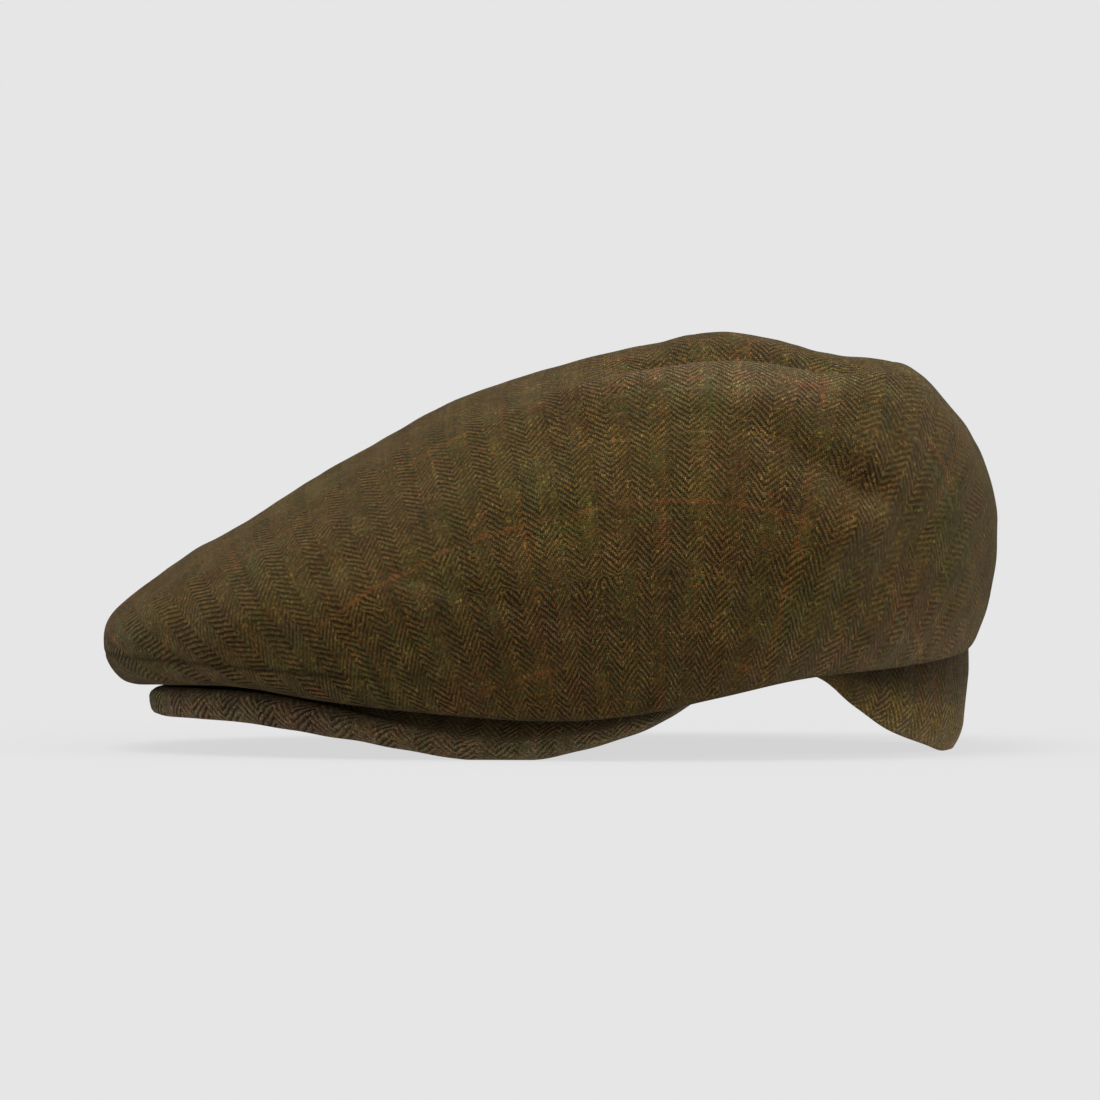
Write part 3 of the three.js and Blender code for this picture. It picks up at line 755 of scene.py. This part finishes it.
def make_peak(material):
    """The peak: from its root against the crown's underside out to its rounded edge, which swells
    up and inwards and keeps its outline."""
    rounds = np.linspace(-PEAK_CORNER_TURN, PEAK_CORNER_TURN, PEAK_AROUND)
    edge, low, inner, root = peak_line(np.abs(rounds))
    share = np.linspace(0, 1, PEAK_ROWS)[:, None]
    swell = smoothstep(share, *PEAK_SWELL_RANGE) * curve(PEAK_SECTIONS, "swell", np.abs(rounds))
    half = PEAK_THICKNESS / 2 + PEAK_EDGE_SWELL * swell
    radius = mix(inner, edge, share) - half + PEAK_THICKNESS / 2
    height = mix(root, low, share) + half - PEAK_THICKNESS / 2
    painted_light = np.broadcast_to(peak_painted_light(share), radius.shape)
    return make_swept("peak_cloth", rounds, radius, height, half, painted_light, PEAK_WAVES, material)


def make_band(material):
    """The side band: up from its curled hem to its top edge, hidden in the crown's roll. The curl
    draws the hem in by the square of the nearness to it."""
    gap = np.degrees(BAND_CORNER_GAP / head_radius(np.array(float(PEAK_CORNER_TURN))))
    rounds = np.linspace(PEAK_CORNER_TURN + gap, 360 - PEAK_CORNER_TURN - gap, BAND_AROUND)
    turn = 180 - np.abs(rounds - 180)
    share = np.linspace(0, 1, BAND_ROWS)[:, None]
    hem = np.maximum(0, curve(BAND_SECTIONS, "hem", turn)) * PEAK_ROOT_HEIGHT
    top = lip_height(turn) + CROWN_TURN_UP
    curl = np.minimum(BAND_HEM_HEIGHT, (top - hem) / 2)
    half = BAND_WALL / 2
    height = mix(hem + half, top - half, share**BAND_ROW_POWER)
    inwards = np.clip(1 - (height - hem) / curl, 0, 1) ** 2 * BAND_HEM_CURL
    radius = band_face(turn, height) - half - inwards
    return make_swept(
        "side_band_cloth", rounds, radius[::-1], height[::-1], half, band_painted_light(share, turn), BAND_WAVES,
        material)


def put(tree, kind, inputs, **settings):
    """A node with its settings, each input linked to a socket or set to a value."""
    node = tree.nodes.new(kind)
    for name, value in settings.items():
        setattr(node, name, value)
    for name, value in inputs.items():
        if isinstance(value, bpy.types.NodeSocket):
            tree.links.new(value, node.inputs[name])
        else:
            node.inputs[name].default_value = value
    return node


def maths(tree, operation, *values):
    """One sum on values or sockets."""
    return put(tree, "ShaderNodeMath", dict(enumerate(values)), operation=operation).outputs[0]


def slope(tree, name, value):
    """A value times the named slope's first number, plus its second."""
    return maths(tree, "MULTIPLY_ADD", value, *SLOPES[name])


def clamped(tree, value, least=0.0):
    """A value kept between the least and 1."""
    return put(tree, "ShaderNodeClamp", {0: value, 1: least}).outputs[0]


def pair(tree, first, second):
    """A vector of two values."""
    return put(tree, "ShaderNodeCombineXYZ", {0: first, 1: second}).outputs[0]


def noise(tree, name, place):
    """The outputs of a named noise at a place."""
    scale, detail, roughness = NOISES[name]
    return put(tree, "ShaderNodeTexNoise", {
        "Vector": place, "Scale": scale, "Detail": detail, "Roughness": roughness}).outputs


def random_share(tree, place):
    """A random value from 0 to 1 for each pair of numbers."""
    return put(tree, "ShaderNodeTexWhiteNoise", {"Vector": place}, noise_dimensions="2D").outputs["Value"]


def blend(tree, share, a, b, kind="MIX"):
    """One colour over another by a share."""
    node = put(tree, "ShaderNodeMix", {0: share, 6: a, 7: b}, data_type="RGBA", blend_type=kind)
    return node.outputs[2]


def new_group(name, inputs, outputs):
    """An empty node group with named inputs, given with their kinds and values, and outputs."""
    tree = bpy.data.node_groups.new(name, "ShaderNodeTree")
    for label, (kind, value) in inputs.items():
        socket = tree.interface.new_socket(label, in_out="INPUT", socket_type=kind)
        if value is not None:
            socket.default_value = value
    for label, kind in outputs.items():
        tree.interface.new_socket(label, in_out="OUTPUT", socket_type=kind)
    return tree, tree.nodes.new("NodeGroupInput").outputs, tree.nodes.new("NodeGroupOutput").inputs


def line_mask(tree, yarn, first, wide, repeat):
    """1 on some yarns of each repeat, else 0."""
    step = maths(tree, "FLOORED_MODULO", maths(tree, "SUBTRACT", yarn, first), repeat)
    return maths(tree, "LESS_THAN", step, wide)


def yarn_colour(tree, yarn, along, seed, sockets, main, wear_and_painted_light):
    """One set of yarns: two heathered colours mixed by a random share for each yarn and by noise
    drawn out along it, short coloured flecks, and the overcheck's coloured yarns, which come and
    go with the worn noise."""
    each = maths(tree, "ADD", yarn, seed)
    pick = put(tree, "ShaderNodeTexWhiteNoise", {"W": each}, noise_dimensions="1D").outputs["Value"]
    drawn = pair(tree, maths(tree, "MULTIPLY", along, SLUB_DRAW), each)
    steep = slope(tree, "slub", noise(tree, "slub", drawn)["Fac"])
    share = clamped(tree, maths(tree, "MULTIPLY_ADD", pick, PICK_SHARE, steep))
    colour = blend(tree, share, sockets[main], sockets["Heather"])
    shift = maths(tree, "MULTIPLY", pick, FLECK_SHIFT)
    cell = maths(tree, "FLOOR", maths(tree, "MULTIPLY_ADD", along, FLECKS_A_YARN, shift))
    fleck = random_share(tree, pair(tree, cell, each))
    for label, first, wide, shown, flecks_from in COLOURED_YARNS:
        line = line_mask(tree, yarn, first + seed, wide, OVERCHECK_REPEAT)
        line = maths(tree, "MULTIPLY", line, shown)
        line = maths(tree, "MULTIPLY", maths(tree, "MULTIPLY", line, wear_and_painted_light), sockets["Overcheck"])
        spot = maths(tree, "COMPARE", fleck, flecks_from + FLECK_HALF_RANGE, FLECK_HALF_RANGE)
        spot = maths(tree, "MULTIPLY", spot, sockets["Flecks"])
        colour = blend(tree, maths(tree, "MAXIMUM", line, spot), colour, sockets[label])
    return colour


def tweed_group():
    """Herringbone tweed over the cloth's own places: yarns cross in a two-and-two twill, which turns
    back in each column. Each yarn is round, dips under the next, and has its own heathered tint.
    Where the cloth is fulled, its weave is less clear."""
    inputs = {"Cloth": ("NodeSocketVector", None)}
    for label, value in TWEED.items():
        kind = "NodeSocketColor" if isinstance(value, tuple) else "NodeSocketFloat"
        inputs[label] = (kind, value)
    tree, sockets, out = new_group("Tweed", inputs, {
        "Color": "NodeSocketColor", "Roughness": "NodeSocketFloat", "Height": "NodeSocketFloat"})
    cloth = sockets["Cloth"]
    shaken = cloth
    for name, reach in SHAKES.items():
        wobble = noise(tree, name, cloth)["Color"]
        shaken = put(tree, "ShaderNodeVectorMath", {0: wobble, 1: (reach, reach, 0), 2: shaken},
                     operation="MULTIPLY_ADD").outputs[0]
    flat = put(tree, "ShaderNodeSeparateXYZ", {0: shaken}).outputs
    over, down = (maths(tree, "DIVIDE", flat[name], sockets["Yarn"]) for name in ("X", "Y"))
    pick, end = maths(tree, "FLOOR", over), maths(tree, "FLOOR", down)
    column = maths(tree, "FLOOR", maths(tree, "DIVIDE", end, sockets["Column"]))
    way = maths(tree, "MULTIPLY_ADD", maths(tree, "FLOORED_MODULO", column, 2.0), -2.0, 1.0)
    shift = maths(tree, "MULTIPLY", column, 2.0)

    def twill(picks, ends):
        """Where a crossing lies in the twill's repeat."""
        total = maths(tree, "ADD", maths(tree, "MULTIPLY_ADD", way, ends, picks), shift)
        return maths(tree, "FLOORED_MODULO", total, TWILL_REPEAT)

    def hill(value, middle):
        """1 at the middle, falling by the square of the distance."""
        offset = maths(tree, "SUBTRACT", value, middle)
        return maths(tree, "SUBTRACT", 1.0, maths(tree, "MULTIPLY", offset, offset))

    def round_yarn(place, yarn):
        """The roundness of a yarn: a hill over its width."""
        return hill(maths(tree, "MULTIPLY", maths(tree, "SUBTRACT", place, yarn), 2.0), 1.0)

    up = maths(tree, "LESS_THAN", twill(pick, end), TWILL_UP)
    end_height = maths(tree, "ADD", round_yarn(down, end), hill(twill(over, end), 1.0))
    pick_height = maths(tree, "ADD", round_yarn(over, pick), hill(twill(pick, down), 3.0))
    heights = {0: up, 2: pick_height, 3: end_height}
    relief = put(tree, "ShaderNodeMix", heights, data_type="FLOAT").outputs[0]

    fibres = noise(tree, "fibres", cloth)["Fac"]
    wear_and_painted_light = clamped(tree, slope(tree, "broken", noise(tree, "broken", cloth)["Fac"]))
    ends = yarn_colour(tree, end, over, END_SEED, sockets, "Light", wear_and_painted_light)
    picks = yarn_colour(tree, pick, down, PICK_SEED, sockets, "Dark", wear_and_painted_light)
    clear = clamped(tree, slope(tree, "fulled", noise(tree, "fulled", cloth)["Fac"]), LEAST_CLEAR)
    shown = maths(tree, "MULTIPLY_ADD", maths(tree, "SUBTRACT", up, 0.5), clear, 0.5)
    colour = blend(tree, shown, picks, ends)

    # The yarns' relief darkens the colour where they dip under each other: painted shade in the weave.
    # The fibres, jitter and cloudy noise are random tone.
    shaded = maths(tree, "MULTIPLY", slope(tree, "relief", relief), slope(tree, "fibres", fibres))
    jitter = slope(tree, "jitter", random_share(tree, pair(tree, pick, end)))
    shaded = maths(tree, "MULTIPLY", shaded, jitter)
    cloudy = slope(tree, "cloudy", noise(tree, "cloudy", cloth)["Fac"])
    shaded = maths(tree, "MULTIPLY", shaded, cloudy)
    grey = put(tree, "ShaderNodeCombineColor", {0: shaded, 1: shaded, 2: shaded}).outputs[0]
    colour = blend(tree, 1.0, colour, grey, "MULTIPLY")

    patches, mottle = (noise(tree, name, cloth)["Color"] for name in ("patches", "mottle"))
    tint = blend(tree, TINT_SHARE, MIDDLE_GREY, blend(tree, MOTTLE_SHARE, patches, mottle))
    tint = put(tree, "ShaderNodeBrightContrast", {
        "Color": tint, "Bright": 0.0, "Contrast": TINT_CONTRAST}).outputs[0]
    colour = blend(tree, 1.0, colour, tint, "SOFT_LIGHT")
    # Below 0 painted shade darkens the colour; above 0 painted light makes it paler and greyer.
    dark = clamped(tree, maths(tree, "MULTIPLY", sockets["Painted Light"], -1.0))
    colour = blend(tree, dark, colour, PAINTED_SHADE_TINT, "MULTIPLY")
    colour = blend(tree, clamped(tree, sockets["Painted Light"]), colour, sockets["Painted Light Tint"], "MULTIPLY")

    weave = maths(tree, "MULTIPLY", relief, WEAVE_RELIEF)
    tree.links.new(colour, out["Color"])
    tree.links.new(slope(tree, "roughness", fibres), out["Roughness"])
    tree.links.new(maths(tree, "MULTIPLY_ADD", fibres, FIBRE_RELIEF, weave), out["Height"])
    return tree


def cloth_material(name, group, colours):
    """A dull cloth with the tweed's colour and relief, colours of its own, for the band a lighter copy
    that is painted light, and a faint sheen of loose fibre."""
    material = bpy.data.materials.new(name)
    material.use_nodes = True
    tree = material.node_tree
    surface = tree.nodes["Principled BSDF"]
    places = put(tree, "ShaderNodeUVMap", {}, uv_map="cloth").outputs[0]
    painted_light = put(tree, "ShaderNodeAttribute", {}, attribute_name="painted_light").outputs["Fac"]
    tweed = put(tree, "ShaderNodeGroup", {}, node_tree=group)
    tree.links.new(places, tweed.inputs["Cloth"])
    tree.links.new(painted_light, tweed.inputs["Painted Light"])
    for label, value in colours.items():
        tweed.inputs[label].default_value = value
    relief = put(tree, "ShaderNodeBump", {
        "Height": tweed.outputs["Height"], "Strength": 1.0, "Distance": RELIEF_DISTANCE})
    tree.links.new(tweed.outputs["Color"], surface.inputs["Base Color"])
    tree.links.new(tweed.outputs["Roughness"], surface.inputs["Roughness"])
    tree.links.new(relief.outputs["Normal"], surface.inputs["Normal"])
    for label, value in CLOTH_SURFACE.items():
        surface.inputs[label].default_value = value
    return material


def floor_light():
    """How bright a white floor would be: the sky's shades weighted by their rise, and the lights."""
    rise = (np.arange(SKY_STEPS) + 0.5) / SKY_STEPS
    places, shades = np.transpose(SKY_RAMP)
    sky = 2 * np.mean(np.interp(rise, places, shades) * rise)
    lights = [strength * Vector(way).normalized().z for way, strength, _ in LIGHTS.values()]
    return sky + sum(lights) / np.pi


def make_stage():
    """A wide pale floor, and a sky that has the floor's brightness low down, so that no horizon
    shows."""
    mesh = bpy.data.meshes.new("floor")
    half = FLOOR_HALF
    corners = [(-half, -half, 0), (half, -half, 0), (half, half, 0), (-half, half, 0)]
    mesh.from_pydata(corners, [], [(0, 1, 2, 3)])
    floor = bpy.data.objects.new("floor", mesh)
    bpy.context.collection.objects.link(floor)
    material = bpy.data.materials.new("floor")
    material.use_nodes = True
    surface = material.node_tree.nodes["Principled BSDF"]
    surface.inputs["Base Color"].default_value = (FLOOR_SHADE, FLOOR_SHADE, FLOOR_SHADE, 1)
    surface.inputs["Roughness"].default_value = 1
    surface.inputs["Specular IOR Level"].default_value = 0
    surface.inputs["Emission Color"].default_value = (1, 1, 1, 1)
    surface.inputs["Emission Strength"].default_value = SKY_SHADE - FLOOR_SHADE * floor_light()
    mesh.materials.append(material)
    world = bpy.data.worlds.new("sky")
    world.use_nodes = True
    tree = world.node_tree
    way = put(tree, "ShaderNodeTexCoord", {}).outputs["Generated"]
    rise = put(tree, "ShaderNodeSeparateXYZ", {0: way}).outputs["Z"]
    shade = put(tree, "ShaderNodeValToRGB", {0: rise})
    ramp = shade.color_ramp.elements
    ramp[0].position, ramp[1].position = SKY_RAMP[0][0], SKY_RAMP[-1][0]
    for place, _ in SKY_RAMP[1:-1]:
        ramp.new(place)
    for element, (_, value) in zip(ramp, SKY_RAMP):
        element.color = (value, value, value, 1)
    tree.links.new(shade.outputs["Color"], tree.nodes["Background"].inputs["Color"])
    bpy.context.scene.world = world


def make_lights():
    """Broad soft lights, each from its own way: one from above and one low from behind the cap."""
    for name, (way, strength, spread) in LIGHTS.items():
        light = bpy.data.lights.new(name, "SUN")
        light.energy = strength
        light.angle = np.radians(spread)
        sun = bpy.data.objects.new(name, light)
        sun.rotation_euler = Vector(way).to_track_quat("Z", "Y").to_euler()
        bpy.context.collection.objects.link(sun)


def make_camera():
    """The photo's view: from the cap's left, a little above its middle."""
    rise = np.radians(VIEW_RISE)
    lens = bpy.data.cameras.new("camera")
    lens.lens = LENS
    lens.sensor_width = SENSOR
    lens.clip_end = VIEW_END
    camera = bpy.data.objects.new("camera", lens)
    away = Vector((np.cos(rise), 0, np.sin(rise)))
    camera.location = Vector(VIEW_MIDDLE) + away * VIEW_DISTANCE
    camera.rotation_euler = away.to_track_quat("Z", "Y").to_euler()
    bpy.context.collection.objects.link(camera)
    bpy.context.scene.camera = camera


tweed = tweed_group()
crown_tweed = cloth_material("crown_tweed", tweed, {})
# The band's tweed is a lighter copy of the crown's: painted light.
band_tweed = cloth_material("band_tweed", tweed, BAND_PAINTED_LIGHT_TWEED)
peak_tweed = cloth_material("peak_tweed", tweed, PEAK_TWEED)
crown = make_crown(crown_tweed)
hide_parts("crown")
band = make_band(band_tweed)
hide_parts("side_band")
peak = make_peak(peak_tweed)
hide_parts("peak")
make_stage()
make_lights()
make_camera()
scene = bpy.context.scene
scene.view_settings.view_transform = "Standard"
